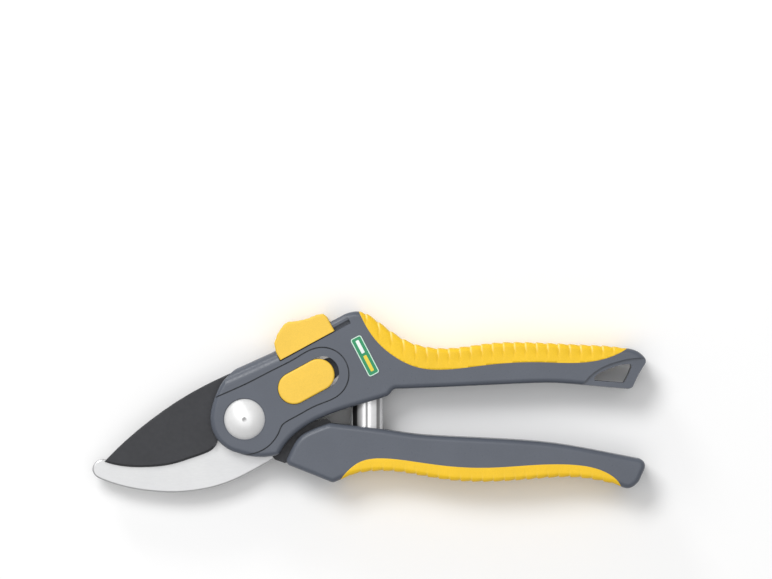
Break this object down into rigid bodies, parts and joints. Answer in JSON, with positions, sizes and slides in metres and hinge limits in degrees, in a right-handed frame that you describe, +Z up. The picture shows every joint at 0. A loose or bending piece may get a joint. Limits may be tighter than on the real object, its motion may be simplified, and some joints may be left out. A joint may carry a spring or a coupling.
{
  "type": "pruning shears",
  "caption": "Hand pruning shears with a coated curved cutting blade passing a hooked counter blade, two padded handles, a return spring, a thumb lock slide and a cutting width selector.",
  "frame": {"origin": "centre of the footprint on the table, the shears lying closed on their back face", "axes": "+X along the handles from the blades to the handle ends, +Y across from the lower handle to the upper one, +Z up out of the front face with the bolt head"},
  "size_m": [0.2101, 0.0689, 0.0229],
  "materials": {
    "grey_plastic": "fine-grained moulded grey plastic",
    "yellow_grip": "soft matt overmoulded yellow grip",
    "yellow_plastic": "satin moulded yellow plastic",
    "coated_steel": "black non-stick coated steel",
    "bright_steel": "finely ground bright steel",
    "polished_steel": "polished turned steel",
    "zinc_steel": "bright zinc plated steel",
    "spring_steel": "polished nickel plated strip",
    "bush_bronze": "sintered bronze",
    "green_label": "glossy green badge with a pale rim"
  },
  "bodies": {
    "upper_handle": {"upper_shell_front": "grey_plastic", "upper_shell_back": "grey_plastic", "head_cover_front": "grey_plastic", "head_cover_back": "grey_plastic", "upper_grip": "yellow_grip", "label_plate": "green_label", "hook_blade": "bright_steel", "hook_pins": "zinc_steel", "pivot_bolt": "polished_steel", "pivot_nut": "zinc_steel", "pivot_shims": "zinc_steel", "upper_shell_screws": "zinc_steel", "spring_cup_upper": "grey_plastic", "volute_spring": "spring_steel"},
    "lower_handle": {"lower_shell_front": "grey_plastic", "lower_shell_back": "grey_plastic", "lower_grip": "yellow_grip", "cutting_blade": "coated_steel", "tang_pins": "zinc_steel", "pivot_bush": "bush_bronze", "lower_shell_screws": "zinc_steel", "spring_cup_lower": "grey_plastic"},
    "lock_slide": {"thumb_slide": "yellow_plastic", "lock_plate": "zinc_steel", "lock_rivets": "zinc_steel"},
    "width_selector": {"selector_plate": "zinc_steel", "selector_post": "zinc_steel", "stop_pin": "zinc_steel", "selector_button_front": "yellow_plastic", "selector_button_back": "yellow_plastic"}
  },
  "joints": [
    {"name": "handle_hinge", "type": "hinge", "parent": "upper_handle", "child": "lower_handle", "pos_m": [-0.0472, -0.00645, 0.0115], "axis": [0, 0, -1], "range_deg": [0, 24], "deforming": ["volute_spring"]},
    {"name": "lock_slide_travel", "type": "slide", "parent": "upper_handle", "child": "lock_slide", "axis": [0.8788, 0.4772, 0], "range_m": [0, 0.0065]},
    {"name": "width_selector_travel", "type": "slide", "parent": "upper_handle", "child": "width_selector", "axis": [0.8788, 0.4772, 0], "range_m": [0, 0.0018]}
  ]
}
